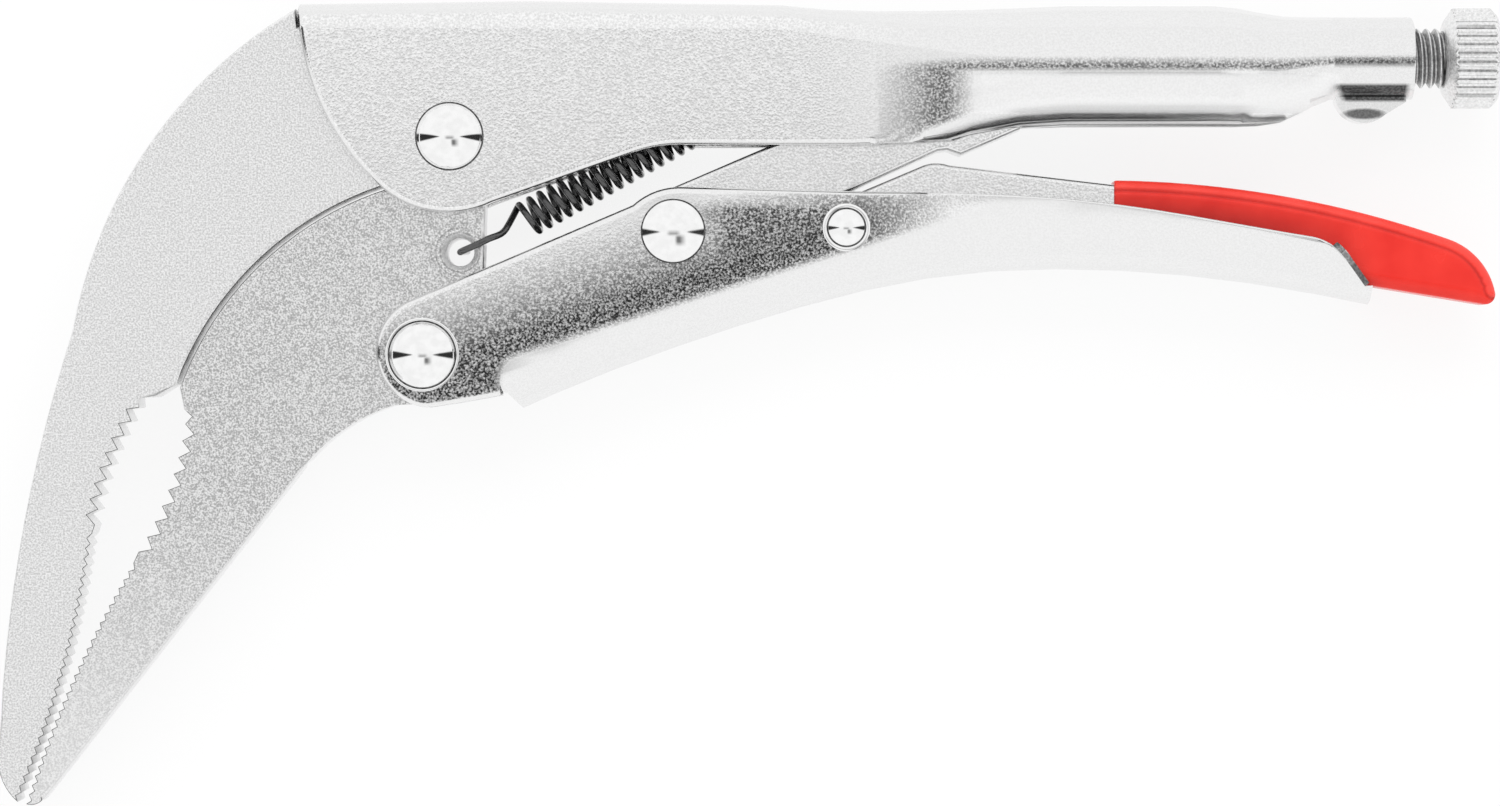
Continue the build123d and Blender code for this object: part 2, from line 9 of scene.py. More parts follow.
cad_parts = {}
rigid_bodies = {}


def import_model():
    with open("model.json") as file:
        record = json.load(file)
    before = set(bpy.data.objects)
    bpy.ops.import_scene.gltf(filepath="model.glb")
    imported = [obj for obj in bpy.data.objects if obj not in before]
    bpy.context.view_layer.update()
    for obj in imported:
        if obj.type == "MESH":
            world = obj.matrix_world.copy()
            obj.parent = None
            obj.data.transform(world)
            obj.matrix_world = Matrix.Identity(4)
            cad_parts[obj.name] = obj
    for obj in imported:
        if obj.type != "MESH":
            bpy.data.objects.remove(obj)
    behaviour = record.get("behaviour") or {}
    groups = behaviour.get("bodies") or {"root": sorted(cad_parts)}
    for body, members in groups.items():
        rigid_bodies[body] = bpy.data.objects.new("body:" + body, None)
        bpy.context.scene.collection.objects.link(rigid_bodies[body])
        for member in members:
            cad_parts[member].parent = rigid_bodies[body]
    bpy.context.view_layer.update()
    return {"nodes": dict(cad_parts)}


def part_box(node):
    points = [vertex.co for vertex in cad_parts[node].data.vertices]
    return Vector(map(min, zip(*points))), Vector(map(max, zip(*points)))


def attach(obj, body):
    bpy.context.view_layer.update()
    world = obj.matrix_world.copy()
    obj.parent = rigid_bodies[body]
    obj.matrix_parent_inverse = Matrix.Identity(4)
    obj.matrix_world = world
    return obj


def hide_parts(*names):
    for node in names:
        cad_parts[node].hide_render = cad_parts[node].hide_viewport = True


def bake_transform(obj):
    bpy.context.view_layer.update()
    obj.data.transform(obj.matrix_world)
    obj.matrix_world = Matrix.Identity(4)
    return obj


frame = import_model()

MM = 0.001
WELD = 0.002 * MM
CLOSE = 0.001 * MM

# Places and sizes that several pieces share, in millimetres
MID_Z = 8.0
FRONT_HALF = 5.65
REAR_HALF = 8.0
MAIN_PIN = (-39.9, 35.4)
HANDLE_PIN = (-43.5, 6.4)
TOGGLE_PIN = (-10.2, 22.8)
RELEASE_PIN = (12.8, 23.3)
SPRING_HOLE = Vector((-38.6, 20.1, MID_Z))
SPRING_ANCHOR = Vector((3.2, 43.2, MID_Z))
SCREW_Y = 46.1
KNOB_X = 92.6
FLANGE_TOP = 42.0
LIP_X = 77.4

scene = bpy.context.scene
scene.view_settings.view_transform = "Standard"


# ---------------------------------------------------------------- hand tools
def put_down():
    """Leaves edit mode and lets go of everything."""
    if bpy.context.object and bpy.context.object.mode != "OBJECT":
        bpy.ops.object.mode_set(mode="OBJECT")
    bpy.ops.object.select_all(action="DESELECT")


def take_up(piece):
    """Selects one piece alone."""
    put_down()
    piece.select_set(True)
    bpy.context.view_layer.objects.active = piece


def fix_place(piece):
    """Puts a piece's place, turn and size into its mesh."""
    take_up(piece)
    bpy.ops.object.transform_apply(location=True, rotation=True, scale=True)


def name_piece(name):
    """Names the piece that has just been added."""
    piece = bpy.context.object
    piece.name = name
    piece.data.name = name
    return piece


def welded_copy(node, name):
    """A copy of a solid with its loose triangles welded and its flats made whole."""
    put_down()
    piece = bpy.data.objects.new(name, frame["nodes"][node].data.copy())
    piece.data.name = name
    bpy.context.collection.objects.link(piece)
    piece.data.materials.clear()
    take_up(piece)
    bpy.ops.mesh.customdata_custom_splitnormals_clear()
    bpy.ops.object.mode_set(mode="EDIT")
    bpy.ops.mesh.select_all(action="SELECT")
    bpy.ops.mesh.remove_doubles(threshold=WELD)
    bpy.ops.mesh.dissolve_limited(angle_limit=math.radians(0.6))
    bpy.ops.object.mode_set(mode="OBJECT")
    return piece


def middle_of(edge):
    """The middle of an edge, in millimetres."""
    return (edge.verts[0].co + edge.verts[1].co) / (2 * MM)


def centre_of(face):
    """The centre of a face, in millimetres."""
    return face.calc_center_median() / MM


def turn_of(edge):
    """How far the surface turns over an edge, in degrees."""
    return math.degrees(edge.calc_face_angle(0.0))


def choose_edges(piece, wanted):
    """Selects the edges of a piece that a rule picks, and says how many there are."""
    take_up(piece)
    bpy.ops.object.mode_set(mode="EDIT")
    bpy.ops.mesh.select_mode(type="EDGE")
    bpy.ops.mesh.select_all(action="DESELECT")
    mesh = bmesh.from_edit_mesh(piece.data)
    count = 0
    for edge in mesh.edges:
        if len(edge.link_faces) == 2 and wanted(edge):
            edge.select_set(True)
            count += 1
    bmesh.update_edit_mesh(piece.data)
    return count


def choose_faces(piece, wanted):
    """Selects the faces of a piece that a rule picks."""
    take_up(piece)
    bpy.ops.object.mode_set(mode="EDIT")
    bpy.ops.mesh.select_mode(type="FACE")
    bpy.ops.mesh.select_all(action="DESELECT")
    mesh = bmesh.from_edit_mesh(piece.data)
    for face in mesh.faces:
        face.select_set(wanted(face))
    bmesh.update_edit_mesh(piece.data)


def draw_out(x, y, z):
    """Extrudes what is selected by a way in millimetres."""
    bpy.ops.mesh.extrude_region_move(TRANSFORM_OT_translate={"value": (x * MM, y * MM, z * MM)})


def face_outward():
    """Turns every normal of the piece in edit mode outward."""
    bpy.ops.mesh.select_all(action="SELECT")
    bpy.ops.mesh.normals_make_consistent(inside=False)


def round_edges(piece, reach, steps, wanted):
    """Rounds the edges that a rule picks."""
    if choose_edges(piece, wanted):
        bpy.ops.mesh.bevel(offset=reach * MM, segments=steps, profile=0.5,
                           affect="EDGES", clamp_overlap=False)
    bpy.ops.object.mode_set(mode="OBJECT")


def soften(piece, name, width, angle):
    """Rounds every edge that is sharper than an angle."""
    soft = piece.modifiers.new(name, "BEVEL")
    soft.width = width * MM
    soft.segments = 2
    soft.limit_method = "ANGLE"
    soft.angle_limit = math.radians(angle)
    bpy.ops.object.modifier_apply(modifier=soft.name)


def smooth(piece, angle=38):
    """Smooth shading, with true flats kept flat."""
    take_up(piece)
    bpy.ops.object.shade_smooth_by_angle(angle=math.radians(angle))
    flats = piece.modifiers.new("flats", "WEIGHTED_NORMAL")
    flats.keep_sharp = True
    bpy.ops.object.modifier_apply(modifier=flats.name)


def stand_in(piece, body, slot, *nodes):
    """Gives a piece its body and hides the solids that it stands for; the slot is not used."""
    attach(piece, body)
    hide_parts(*nodes)


def dress(piece, finish, body, slot, *nodes):
    """Gives a piece its one finish and its place in the frame."""
    piece.data.materials.clear()
    piece.data.materials.append(finish)
    stand_in(piece, body, slot, *nodes)


def lay_finish(piece, index, wanted):
    """Lays one of a piece's finishes on the faces that a rule picks."""
    choose_faces(piece, wanted)
    piece.active_material_index = index
    bpy.ops.object.material_slot_assign()
    bpy.ops.object.mode_set(mode="OBJECT")


def second_finish(piece, finish, wanted):
    """Adds one more finish and lays it on the faces that a rule picks."""
    piece.data.materials.append(finish)
    lay_finish(piece, len(piece.data.materials) - 1, wanted)


# ---------------------------------------------------------------- sums and ramps for finishes
def sum_of(tree, operation, *values):
    """Works out one sum of numbers or noises."""
    node = tree.nodes.new("ShaderNodeMath")
    node.operation = operation
    for value, socket in zip(values, node.inputs):
        if isinstance(value, (int, float)):
            socket.default_value = value
        else:
            tree.links.new(value, socket)
    return node.outputs[0]


def product(tree, first, *others):
    """All the values multiplied."""
    for other in others:
        first = sum_of(tree, "MULTIPLY", first, other)
    return first


def largest(tree, first, *others):
    """The largest of the values."""
    for other in others:
        first = sum_of(tree, "MAXIMUM", first, other)
    return first


def plus(tree, one, other):
    """Two values added."""
    return sum_of(tree, "ADD", one, other)


def minus(tree, one, other):
    """One value less another."""
    return sum_of(tree, "SUBTRACT", one, other)


def parts(tree, one, other):
    """One value divided by another."""
    return sum_of(tree, "DIVIDE", one, other)


def squares(tree, one, other):
    """The squares of two values, added."""
    return plus(tree, product(tree, one, one), product(tree, other, other))


def distance(tree, one, other):
    """The long side of a right-angled triangle."""
    return sum_of(tree, "SQRT", squares(tree, one, other))


def spread(tree, value, low, high, start=0.3, end=0.7):
    """Maps a value between a start and an end to a range of numbers."""
    ramp = tree.nodes.new("ShaderNodeMapRange")
    ramp.inputs["From Min"].default_value = start
    ramp.inputs["From Max"].default_value = end
    ramp.inputs["To Min"].default_value = low
    ramp.inputs["To Max"].default_value = high
    tree.links.new(value, ramp.inputs["Value"])
    return ramp.outputs["Result"]


def rising(tree, value, start, end, full=1.0):
    """A share that grows from nought."""
    return spread(tree, value, 0.0, full, start, end)


def falling(tree, value, start, end, rest=0.0):
    """A share that drops from one."""
    return spread(tree, value, 1.0, rest, start, end)


def tint(tree, value, low, high, start=0.3, end=0.7):
    """Maps a noise to a range of colours."""
    ramp = tree.nodes.new("ShaderNodeValToRGB")
    ramp.color_ramp.elements[0].position = start
    ramp.color_ramp.elements[0].color = (*low, 1.0)
    ramp.color_ramp.elements[1].position = end
    ramp.color_ramp.elements[1].color = (*high, 1.0)
    tree.links.new(value, ramp.inputs["Fac"])
    return ramp.outputs["Color"]


def speckle(tree, fine, dark, light, start=0.36, end=0.64):
    """Grey speckle between two levels."""
    return tint(tree, fine, (dark,) * 3, (light,) * 3, start, end)


def even_grey(tree, fine, level):
    """A grey with hardly any speckle."""
    return speckle(tree, fine, level - 0.02, level + 0.02)


def blend_colours(tree, share, one, other):
    """Goes from one colour to another by a share."""
    mix = tree.nodes.new("ShaderNodeMix")
    mix.data_type = "RGBA"
    tree.links.new(share, mix.inputs["Factor"])
    tree.links.new(one, mix.inputs[6])
    tree.links.new(other, mix.inputs[7])
    return mix.outputs[2]


def grain(tree, place, scale, detail=3.0):
    """A fine noise over a piece."""
    noise = tree.nodes.new("ShaderNodeTexNoise")
    noise.inputs["Scale"].default_value = scale
    noise.inputs["Detail"].default_value = detail
    tree.links.new(place, noise.inputs["Vector"])
    return noise.outputs["Fac"]


def relief(tree, shader, height, depth):
    """Raises a pattern by a depth in millimetres, on top of any relief that is there."""
    bump = tree.nodes.new("ShaderNodeBump")
    bump.inputs["Strength"].default_value = 1.0
    bump.inputs["Distance"].default_value = depth * MM
    normal = shader.inputs["Normal"]
    if normal.is_linked:
        tree.links.new(normal.links[0].from_socket, bump.inputs["Normal"])
    tree.links.new(height, bump.inputs["Height"])
    tree.links.new(bump.outputs["Normal"], normal)


def places(tree):
    """The X and Y of a place on the piece, in millimetres."""
    split = tree.nodes.new("ShaderNodeSeparateXYZ")
    tree.links.new(tree.nodes["Texture Coordinate"].outputs["Object"], split.inputs[0])
    return parts(tree, split.outputs["X"], MM), parts(tree, split.outputs["Y"], MM)


def flat_share(tree):
    """One on a piece's flat sides, nought on its bends and rims."""
    split = tree.nodes.new("ShaderNodeSeparateXYZ")
    tree.links.new(tree.nodes["Texture Coordinate"].outputs["Normal"], split.inputs[0])
    return rising(tree, sum_of(tree, "ABSOLUTE", split.outputs["Z"]), 0.86, 0.96)


def new_finish(name):
    """An empty finish with its shader and the place on the piece that patterns read."""
    finish = bpy.data.materials.new(name)
    finish.use_nodes = True
    nodes = finish.node_tree.nodes
    shader = nodes["Principled BSDF"]
    place = nodes.new("ShaderNodeTexCoord")
    return finish, finish.node_tree, shader, place.outputs["Object"]


# ---------------------------------------------------------------- plain metals
def metal(name, grey, rough, scale, depth, rim=None):
    """A metal with grain in its colour, shine and surface, and, where a rim grey is given, rims and
    bends in an even lighter grey: partly a clean edge, partly a painted highlight.
    """
    finish, tree, shader, place = new_finish(name)
    shader.inputs["Metallic"].default_value = 1.0
    fine = grain(tree, place, scale, 1.0)
    broad = grain(tree, place, scale / 14)
    colour = speckle(tree, fine, *grey)
    height = fine
    if rim:
        flat = flat_share(tree)
        # Rims and bends: an even lighter grey without speckle, partly a clean edge, partly a
        # painted highlight.
        colour = blend_colours(tree, flat, even_grey(tree, fine, rim), colour)
        height = product(tree, fine, flat)
    tree.links.new(colour, shader.inputs["Base Color"])
    tree.links.new(spread(tree, broad, *rough), shader.inputs["Roughness"])
    relief(tree, shader, height, depth)
    return finish


PRESSED_STEEL = metal("pressed_steel", (0.74, 0.95), (0.18, 0.26), 3200, 0.026, rim=0.88)
POLISHED_RIVET = metal("polished_rivet", (0.88, 0.94), (0.04, 0.08), 900, 0.002)
ZINC_SCREW = metal("zinc_screw", (0.78, 0.92), (0.22, 0.30), 2600, 0.008)
# Painted shade, for the screw's root and the thread's flanks, so that only the crests look light.
THREAD_FLANK_SHADE = metal("thread_flank_painted_shade", (0.36, 0.54), (0.30, 0.40), 2600, 0.006)
# Painted shade, laid in the knob's grooves and on the lower handle's curled rear lip.
ZINC_PAINTED_SHADE = metal("zinc_painted_shade", (0.22, 0.42), (0.30, 0.40), 2600, 0.008)
RIVET_SEAM = metal("rivet_seam", (0.05, 0.16), (0.40, 0.55), 2600, 0.006)
# Painted shade, for the small chamfers along the teeth.
TOOTH_EDGE_SHADE = metal("tooth_edge_painted_shade", (0.12, 0.26), (0.34, 0.44), 2600, 0.006)
TURNED_STEEL = metal("turned_steel", (0.84, 0.98), (0.60, 0.75), 2600, 0.010)
GROUND_STEEL = metal("ground_steel", (0.66, 0.97), (0.34, 0.44), 4200, 0.024, rim=0.90)


def spot_faced_steel():
    """Ground steel, lighter towards the tip, with the turning marks round the spring's hole."""
    finish = metal("spot_faced_steel", (0.44, 0.91), (0.32, 0.42), 4200, 0.036, rim=0.90)
    ring_pitch = 0.62
    tree = finish.node_tree
    shader = tree.nodes["Principled BSDF"]
    fine = tree.nodes["Noise Texture"].outputs["Fac"]
    x, y = places(tree)
    to_tip = rising(tree, y, -14, -44, 0.8)
    far = distance(tree, minus(tree, x, SPRING_HOLE.x), minus(tree, y, SPRING_HOLE.y))
    wave = sum_of(tree, "SINE", product(tree, far, 2 * math.pi / ring_pitch))
    marks = product(tree, wave, falling(tree, far, 2.9, 4.6))
    in_a_ring = rising(tree, marks, 0.1, 0.8, 0.6)
    colour = shader.inputs["Base Color"].links[0].from_socket
    colour = blend_colours(tree, to_tip, colour, speckle(tree, fine, 0.78, 0.94))
    colour = blend_colours(tree, in_a_ring, colour, speckle(tree, fine, 0.18, 0.44))
    tree.links.new(colour, shader.inputs["Base Color"])
    relief(tree, shader, marks, 0.014)
    return finish


SPOT_FACED_STEEL = spot_faced_steel()


# ---------------------------------------------------------------- nickel of the two handles
def nickel_with_painted_dark(name, depth, plain, painted_dark_share, speckle_share,
                  painted_shade_share=None, dull_share=None):
    """Nickel with a light speckle, a painted dark reflection with grain on parts of its walls,
    painted shade where given, and clean on bends and rims.
    """
    finish, tree, shader, place = new_finish(name)
    shader.inputs["Metallic"].default_value = 1.0
    fine = grain(tree, place, 3400, 1.0)
    broad = grain(tree, place, 240)
    flat = flat_share(tree)
    x, y = places(tree)
    grainy = product(tree, flat, speckle_share(tree, x, y))
    painted_dark_mask = product(tree, flat, painted_dark_share(tree, x, y))
    clean = even_grey(tree, fine, plain)
    rough = spread(tree, broad, 0.12, 0.18)
    if dull_share:
        dull = dull_share(tree, x, y)
        clean = blend_colours(tree, dull, clean, even_grey(tree, fine, 0.97))
        rough = largest(tree, rough, product(tree, dull, 0.5))
    light = blend_colours(tree, grainy, clean, speckle(tree, fine, 0.76, 0.96))
    # Painted dark reflection on the walls, with a dark grain in it.
    colour = blend_colours(tree, painted_dark_mask, light, speckle(tree, fine, 0.035, 0.70, 0.40, 0.68))
    # Painted shade under the tube and painted dark reflection in its drop, where given.
    if painted_shade_share:
        painted_shade_mask = painted_shade_share(tree, x, y)
        colour = blend_colours(tree, painted_shade_mask, colour, speckle(tree, fine, 0.06, 0.15))
    tree.links.new(colour, shader.inputs["Base Color"])
    tree.links.new(rough, shader.inputs["Roughness"])
    relief(tree, shader, product(tree, fine, largest(tree, grainy, painted_dark_mask)), depth)
    return finish


def above_the_fold(tree, x, y):
    """One on the lower handle's walls above its fold and on its ears, with a round corner."""
    ear_x, corner = -33.2, 2.0
    fold = plus(tree, product(tree, x, 0.315), 16.1)
    above = largest(tree, plus(tree, minus(tree, y, fold), corner), 0.0)
    ahead = largest(tree, minus(tree, corner + ear_x, x), 0.0)
    return rising(tree, distance(tree, above, ahead), 1.6, 2.8)


def painted_dark_below_the_rim(tree, x, y):
    """The lower handle's painted dark reflection, with grain: along the fold and between the rear
    rivets, not to the rear.
    """
    fold = plus(tree, product(tree, x, 0.335), 17.1)
    along = falling(tree, minus(tree, y, fold), 2.2, 12)
    between = product(tree, rising(tree, x, -9, -3, 0.95), falling(tree, y, 25.6, 27.2))
    front = product(tree, falling(tree, x, 14, 27), above_the_fold(tree, x, y))
    return product(tree, largest(tree, along, between), front)


def front_of_the_rear(tree, x, y):
    """The lower handle's speckle: clean along its upper rim and to the rear."""
    above = minus(tree, y, product(tree, x, 0.25))
    front = product(tree, falling(tree, x, 22, 34), above_the_fold(tree, x, y))
    return product(tree, falling(tree, above, 24, 29, 0.15), front)


def painted_dark_round_the_hollow(tree, x, y):
    """The upper handle's painted dark reflection, with grain: in front of and above the hollow, and
    a line along the tube.
    """
    hollow_x, hollow_top, border = 29.8, 43.9, 13
    tube = (70, 78)
    top = plus(tree, rising(tree, x, *tube), hollow_top)
    wide = spread(tree, x, 2.0, 1.3, *tube)
    ahead = largest(tree, parts(tree, minus(tree, hollow_x, x), border), 0.0)
    above = largest(tree, parts(tree, minus(tree, y, top), wide), 0.0)
    far = distance(tree, ahead, above)
    return product(tree, rising(tree, far, 0.0, 0.3, 0.85), falling(tree, far, 0.4, 1.0))


def painted_shade_under_the_tube(tree, x, y):
    """Painted shade along the seam under the upper handle's tube, and a lens of painted dark
    reflection in its drop.
    """
    slant = plus(tree, x, product(tree, y, 0.6))
    length = product(tree, rising(tree, slant, 103.0, 104.0), falling(tree, x, 87.2, 88.0))
    # A band of painted shade under the tube.
    seam = product(tree, rising(tree, y, 40.1, 40.5), falling(tree, y, 42.2, 42.6))
    # A lens of painted dark reflection in the drop.
    off_x = parts(tree, minus(tree, x, 82.0), 2.9)
    off_y = parts(tree, minus(tree, y, 38.6), 0.75)
    lens = spread(tree, squares(tree, off_x, off_y), 0.9, 0.0, 0.5, 1.2)
    return largest(tree, product(tree, length, seam), lens)


def in_the_hollow(tree, x, y):
    """One in the upper handle's hollow, between its upper bend and its rolled rim."""
    along = product(tree, rising(tree, x, 25.5, 31), falling(tree, x, 77, 79))
    across = product(tree, rising(tree, y, 38.2, 38.9), falling(tree, y, 43.2, 44.0))
    return product(tree, along, across)


def front_wall(tree, x, y):
    """The upper handle's speckle: on its front wall, fading to the rear."""
    return falling(tree, x, 4, 24, 0.12)


UPPER_NICKEL = nickel_with_painted_dark("upper_nickel", 0.026, 0.84, painted_dark_round_the_hollow, front_wall,
                             painted_shade_under_the_tube, in_the_hollow)
LOWER_NICKEL = nickel_with_painted_dark("lower_nickel", 0.050, 0.86, painted_dark_below_the_rim, front_of_the_rear)


# ---------------------------------------------------------------- wire and dip
def oiled_wire():
    """Glossy black oiled spring wire."""
    finish, tree, shader, place = new_finish("oiled_wire")
    shader.inputs["Specular IOR Level"].default_value = 0.9
    shader.inputs["Coat Weight"].default_value = 0.6
    shader.inputs["Coat Roughness"].default_value = 0.05
    fine = grain(tree, place, 2500)
    black = tint(tree, fine, (0.008, 0.008, 0.008), (0.030, 0.030, 0.032))
    tree.links.new(black, shader.inputs["Base Color"])
    tree.links.new(spread(tree, fine, 0.08, 0.14), shader.inputs["Roughness"])
    relief(tree, shader, fine, 0.002)
    return finish


def dipped_red():
    """Glossy red dip with painted light above its crease, and painted shade in the crease and
    towards its lower front.
    """
    finish, tree, shader, place = new_finish("dipped_red")
    shader.inputs["Specular IOR Level"].default_value = 0.35
    broad = grain(tree, place, 220, 2.0)
    height = tree.nodes.new("ShaderNodeAttribute")
    height.attribute_name = "below_top"
    below = height.outputs["Fac"]
    plain = tint(tree, broad, (0.74, 0.020, 0.012), (0.82, 0.032, 0.020))
    # Painted light for the band above the crease.
    light = tint(tree, broad, (0.84, 0.048, 0.034), (0.90, 0.062, 0.046))
    painted_shade_red = tint(tree, broad, (0.34, 0.006, 0.004), (0.42, 0.010, 0.007))
    # Painted shade along the crease.
    line = product(tree, rising(tree, below, 1.1, 1.4, 0.55), falling(tree, below, 1.4, 1.8))
    x, _ = places(tree)
    # Painted shade towards the lower front, next to the handle's wall.
    front = product(tree, rising(tree, below, 2.0, 5.6, 0.85), falling(tree, x, 66, 80))
    colour = blend_colours(tree, falling(tree, below, 1.0, 1.35), plain, light)
    colour = blend_colours(tree, largest(tree, line, front), colour, painted_shade_red)
    tree.links.new(colour, shader.inputs["Base Color"])
    tree.links.new(spread(tree, broad, 0.20, 0.28), shader.inputs["Roughness"])
    relief(tree, shader, broad, 0.02)
    return finish


OILED_WIRE = oiled_wire()
DIPPED_RED = dipped_red()


# ---------------------------------------------------------------- jaws
TOOTH_LENGTH = 1.85


def among_the_teeth(spot):
    """True in the part of the jaws where the teeth are."""
    return spot.x < -60 and spot.y < 3


def rim(edge):
    """A sharp edge that lies flat along a jaw's side."""
    return abs(edge.verts[0].co.z - edge.verts[1].co.z) < 0.01 * MM and turn_of(edge) > 50


def long_rim(edge):
    """A long edge along a jaw's rim, away from its teeth."""
    return rim(edge) and edge.calc_length() > TOOTH_LENGTH * MM


def tooth_rim(edge):
    """A short edge along a jaw's teeth."""
    return (rim(edge) and edge.calc_length() < TOOTH_LENGTH * MM
            and among_the_teeth(middle_of(edge)))


def tooth_chamfer(face):
    """A small slanted face along a jaw's teeth."""
    return (0.5 < abs(face.normal.z) < 0.9 and face.calc_area() < 0.4 * MM * MM
            and among_the_teeth(centre_of(face)))


def in_the_countersink(face):
    """A slanted face round the spring's hole."""
    off = centre_of(face) - SPRING_HOLE
    return math.hypot(off.x, off.y) < 3.2 and 0.2 < abs(face.normal.z) < 0.97


def toothed_plate(node, body, finish):
    """A jaw with rounded rims and painted shade on the chamfers along its teeth."""
    plate = welded_copy(node, node + "_plate")
    round_edges(plate, 0.45, 2, long_rim)
    round_edges(plate, 0.09, 1, tooth_rim)
    smooth(plate)
    dress(plate, finish, body, "jaw_steel", node)
    second_finish(plate, TOOTH_EDGE_SHADE, tooth_chamfer)
    return plate


toothed_plate("fixed_jaw", "upper_handle", GROUND_STEEL)
movable_plate = toothed_plate("movable_jaw", "movable_jaw", SPOT_FACED_STEEL)
second_finish(movable_plate, TURNED_STEEL, in_the_countersink)


# ---------------------------------------------------------------- folded handles, link and lever
def eased(share):
    """A share of the way, level at both ends."""
    share = min(1.0, max(0.0, share))
    return share * share * (3 - 2 * share)


def upper_half(x):
    """Half of the upper handle's width."""
    swell = FRONT_HALF + (REAR_HALF - FRONT_HALF) * eased((x - 4.0) / 38.0)
    return swell - 2.5 * eased((x - 62.0) / 15.6)


def lower_half(x):
    """Half of the lower handle's width."""
    return FRONT_HALF + (REAR_HALF - FRONT_HALF) * eased((x - 17.0) / 26.0)


def near_a_pin(spot):
    """True under a rivet's head, where nothing shows."""
    covered = 3.6
    pins = (MAIN_PIN, HANDLE_PIN, TOGGLE_PIN, RELEASE_PIN)
    return any(math.hypot(spot.x - x, spot.y - y) < covered for x, y in pins)


def folded_handle(sheet, node, finish, half, core_y, bend_reach, outer_reach, thin_from, keep_off):
    """A handle with smooth bends, rims rolled in front and thin behind, and soft inner rims."""
    top_bend, thin_rim = 0.45, 0.3

    def bend(edge):
        spot = middle_of(edge)
        run = edge.verts[0].co - edge.verts[1].co
        out = edge.link_faces[0].normal + edge.link_faces[1].normal
        away = Vector((0, spot.y - core_y, spot.z - MID_Z))
        return (8 < turn_of(edge) < 48 and abs(run.x) > 0.8 * run.length and out.dot(away) > 0
                and not keep_off(spot))

    def outer(edge):
        spot = middle_of(edge)
        return (turn_of(edge) > 50 and abs(spot.z - MID_Z) > half(spot.x) - 1.0
                and not near_a_pin(spot) and not keep_off(spot))

    def inner(edge):
        spot = middle_of(edge)
        return (turn_of(edge) > 60 and abs(spot.z - MID_Z) < half(spot.x) - 1.4
                and not near_a_pin(spot) and not keep_off(spot))

    if bend_reach:
        round_edges(sheet, top_bend, 2,
                    lambda edge: bend(edge) and middle_of(edge).y > FLANGE_TOP)
        round_edges(sheet, bend_reach, 2,
                    lambda edge: bend(edge) and middle_of(edge).y < FLANGE_TOP)
    round_edges(sheet, outer_reach, 4, lambda edge: outer(edge) and middle_of(edge).x < thin_from)
    round_edges(sheet, thin_rim, 2, lambda edge: outer(edge) and middle_of(edge).x > thin_from)
    round_edges(sheet, thin_rim, 2, inner)
    smooth(sheet, 42)
    dress(sheet, finish, node, "handle_sheet", node)


def close_the_neck(sheet):
    """Draws the lower corner of the neck's inner end forward, over the gap in front of it."""
    neck_x, top = 76.0, 41.0

    def low_end(edge):
        return all(abs(vert.co.x / MM - neck_x) < 0.05 and vert.co.y < top * MM
                   for vert in edge.verts)

    choose_edges(sheet, low_end)
    bpy.ops.transform.translate(value=(-1.5 * MM, 0, 0))
    bpy.ops.object.mode_set(mode="OBJECT")


def carry_fold_forward(sheet):
    """Draws the fold's front end forward to its slanted edge, between the cheeks."""
    front, reach, cheek, top = -30.3, 2.6, 3.68, 6

    def end_face(face):
        spot = centre_of(face)
        return (face.normal.x < -0.99 and abs(spot.x - front) < 0.05
                and abs(spot.z - MID_Z) < cheek and spot.y < top)

    def drawn_out(face):
        spot = centre_of(face)
        return (max(vert.co.x for vert in face.verts) < (front + 0.01) * MM
                and front - reach - 0.01 < spot.x < front - 0.01
                and abs(spot.z - MID_Z) < cheek + 0.05 and spot.y < top)

    choose_faces(sheet, end_face)
    draw_out(-reach, 0, 0)
    bpy.ops.object.mode_set(mode="OBJECT")
    choose_faces(sheet, drawn_out)
    bpy.ops.mesh.bisect(plane_co=(front * MM, -0.68 * MM, MID_Z * MM), plane_no=(2.3, 2.7, 0),
                        use_fill=True, clear_inner=True, threshold=CLOSE)
    bpy.ops.object.mode_set(mode="OBJECT")


def curl_rear_lip(sheet):
    """Draws the lower handle's slanted rear rims out into a lip that curls inward, with painted
    shade on its curled faces.
    """

    def rear_rim(face):
        spot = centre_of(face)
        return (spot.x > LIP_X and face.normal.x > 0.28 and face.normal.y > 0.3
                and abs(face.normal.z) < 0.36 and abs(spot.z - MID_Z) > 4.0)

    def curled(face):
        spot = centre_of(face)
        return (spot.x > LIP_X and spot.y > 14
                and 0.35 < abs(face.normal.z) < 0.93 and face.normal.x > 0.1)

    choose_faces(sheet, rear_rim)
    draw_out(0.62, 0.48, 0)
    bpy.ops.transform.resize(value=(1, 1, 0.93), center_override=(79 * MM, 19 * MM, MID_Z * MM))
    bpy.ops.object.mode_set(mode="OBJECT")
    smooth(sheet, 42)
    # Painted shade on the curled lip.
    second_finish(sheet, ZINC_PAINTED_SHADE, curled)


def upper_left_sharp(spot):
    """Where the upper handle's edges are too close together to be rounded."""
    return (76.4 < spot.x < 78.8 or (64 < spot.x and spot.y < 41.6)
            or (16.4 < spot.x < 23.4 and 33.8 < spot.y < 38.2))


def lower_left_sharp(spot):
    """Where the lower handle's edges are too close together to be rounded."""
    return (-33.6 < spot.x < -18.0 and spot.y < 16.0) or 79.0 < spot.x


